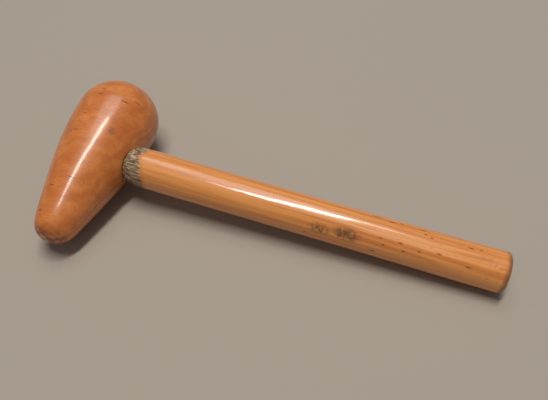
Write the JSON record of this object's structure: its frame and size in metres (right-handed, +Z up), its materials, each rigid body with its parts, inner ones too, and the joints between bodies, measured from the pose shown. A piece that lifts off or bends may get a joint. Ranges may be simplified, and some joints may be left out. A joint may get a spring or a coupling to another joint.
{
  "type": "lead dressing mallet",
  "caption": "Bossing mallet for dressing sheet lead: a pear-shaped turned hardwood head on a round straight handle, through-tenoned and wedged, lying on its side.",
  "frame": {"origin": "on the surface that the mallet lies on, under the middle of its bounding box", "axes": "+Z up from that surface; +X along the handle's direction on the surface, from the head to the butt; +Y towards the head's big end"},
  "size_m": [0.3006, 0.1264, 0.0573],
  "materials": {
    "head_wood": "worn satin polish on close-grained turned hardwood, with short dark flecks",
    "handle_wood": "glossy old varnish over straight grain, dull and dirty at the neck",
    "wedge_wood": "dull bare hardwood"
  },
  "bodies": {
    "root": {"head": "head_wood", "handle": "handle_wood", "wedge": "wedge_wood"}
  },
  "joints": []
}
